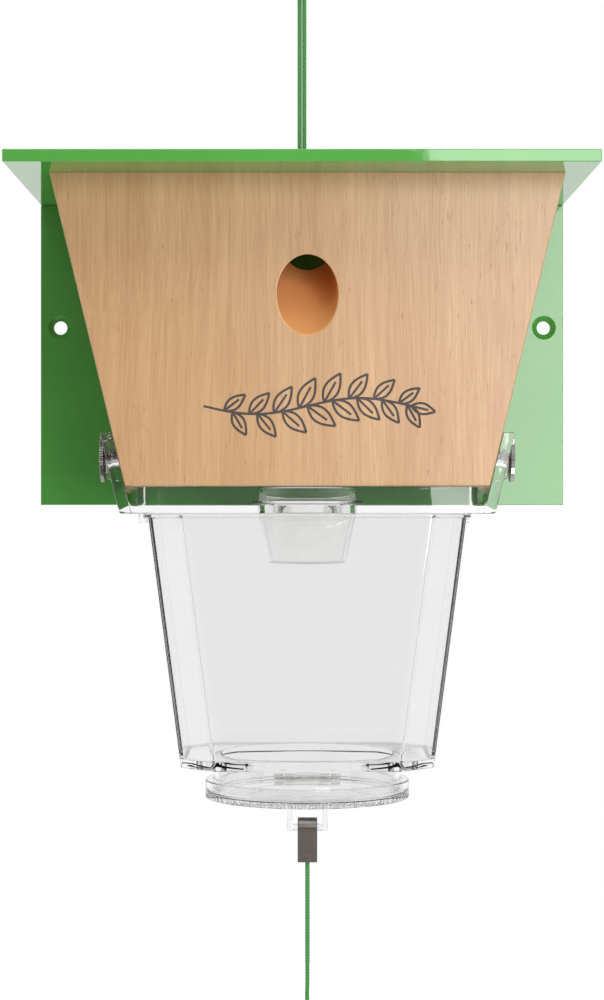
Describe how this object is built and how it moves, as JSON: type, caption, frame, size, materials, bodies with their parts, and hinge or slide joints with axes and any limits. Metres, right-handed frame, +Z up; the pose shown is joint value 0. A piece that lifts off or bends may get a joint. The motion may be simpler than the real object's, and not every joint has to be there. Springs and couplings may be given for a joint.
{
  "type": "wasp trap",
  "caption": "Wall-hung wasp trap: wooden entrance box with slanted bore under a green roof, clear tray, funnel and jar, and a sprung emptying door with pull cord.",
  "frame": {"origin": "on the back plate's rear face, level with its two wall-screw holes and in the wooden box's middle plane, which is 1.8 mm to the right of the sheets' own", "axes": "+X right seen from the front, +Y into the wall, +Z up"},
  "size_m": [0.19, 0.1155, 0.4208],
  "materials": {
    "green_sheet": "glossy moulded sheet, leaf green",
    "wood": "light close-grained wood, sanded, unvarnished, fine vertical grain",
    "clear_plastic": "clear polished moulded plastic",
    "screw_steel": "plated steel, slightly worn",
    "thumb_steel": "dark plated steel",
    "spring_steel": "bright spring wire",
    "insert_brass": "turned brass",
    "clip_paint": "dark warm grey, satin",
    "green_cord": "thin braided green cord"
  },
  "bodies": {
    "housing": {"roof_panel": "green_sheet", "back_plate": "green_sheet", "box_front": "wood", "box_side_left": "wood", "box_side_right": "wood", "threaded_insert_left": "insert_brass", "threaded_insert_right": "insert_brass", "roof_screw_1": "screw_steel", "roof_screw_2": "screw_steel", "roof_screw_3": "screw_steel", "roof_screw_4": "screw_steel", "back_screw_1": "screw_steel", "back_screw_2": "screw_steel", "back_screw_3": "screw_steel", "back_screw_4": "screw_steel", "hanging_cord": "green_cord", "loop_knot": "green_cord", "roof_knot": "green_cord"},
    "tray_and_jar": {"tray": "clear_plastic", "funnel": "clear_plastic", "jar": "clear_plastic", "door_ring": "clear_plastic", "hinge_pin": "spring_steel", "hinge_spring_left": "spring_steel", "hinge_spring_right": "spring_steel"},
    "thumb_screw_left": {"thumb_screw_left": "thumb_steel", "washer_left": "thumb_steel"},
    "thumb_screw_right": {"thumb_screw_right": "thumb_steel", "washer_right": "thumb_steel"},
    "door": {"door": "clear_plastic"},
    "pull_clip": {"pull_clip": "clip_paint"},
    "pull_cord": {"pull_cord": "green_cord", "pull_cord_hank": "green_cord", "hank_tie": "green_cord", "end_knot": "green_cord"}
  },
  "joints": [
    {"name": "tray_drop", "type": "slide", "parent": "housing", "child": "tray_and_jar", "axis": [0, 0, -1], "range_m": [0, 0.03]},
    {"name": "thumb_screw_left_turn", "type": "hinge", "parent": "housing", "child": "thumb_screw_left", "pos_m": [-0.07, -0.045, -0.048], "axis": [-1, 0, 0], "continuous": true},
    {"name": "thumb_screw_right_turn", "type": "hinge", "parent": "housing", "child": "thumb_screw_right", "pos_m": [0.07, -0.045, -0.048], "axis": [1, 0, 0], "continuous": true},
    {"name": "door_open", "type": "hinge", "parent": "tray_and_jar", "child": "door", "pos_m": [0, -0.0075, -0.16315], "axis": [1, 0, 0], "range_deg": [0, 80], "stiffness_Nm_per_rad": 0.02, "springref_deg": -51.57},
    {"name": "clip_swing", "type": "hinge", "parent": "door", "child": "pull_clip", "pos_m": [0, -0.0778, -0.1715], "axis": [1, 0, 0], "range_deg": [-80, 0]},
    {"name": "cord_swing", "type": "hinge", "parent": "pull_clip", "child": "pull_cord", "pos_m": [0, -0.0778, -0.183], "axis": [1, 0, 0], "range_deg": [-15, 15]}
  ],
  "couplings": [
    {"joint": "clip_swing", "follows": "door_open", "ratio": -1}
  ]
}
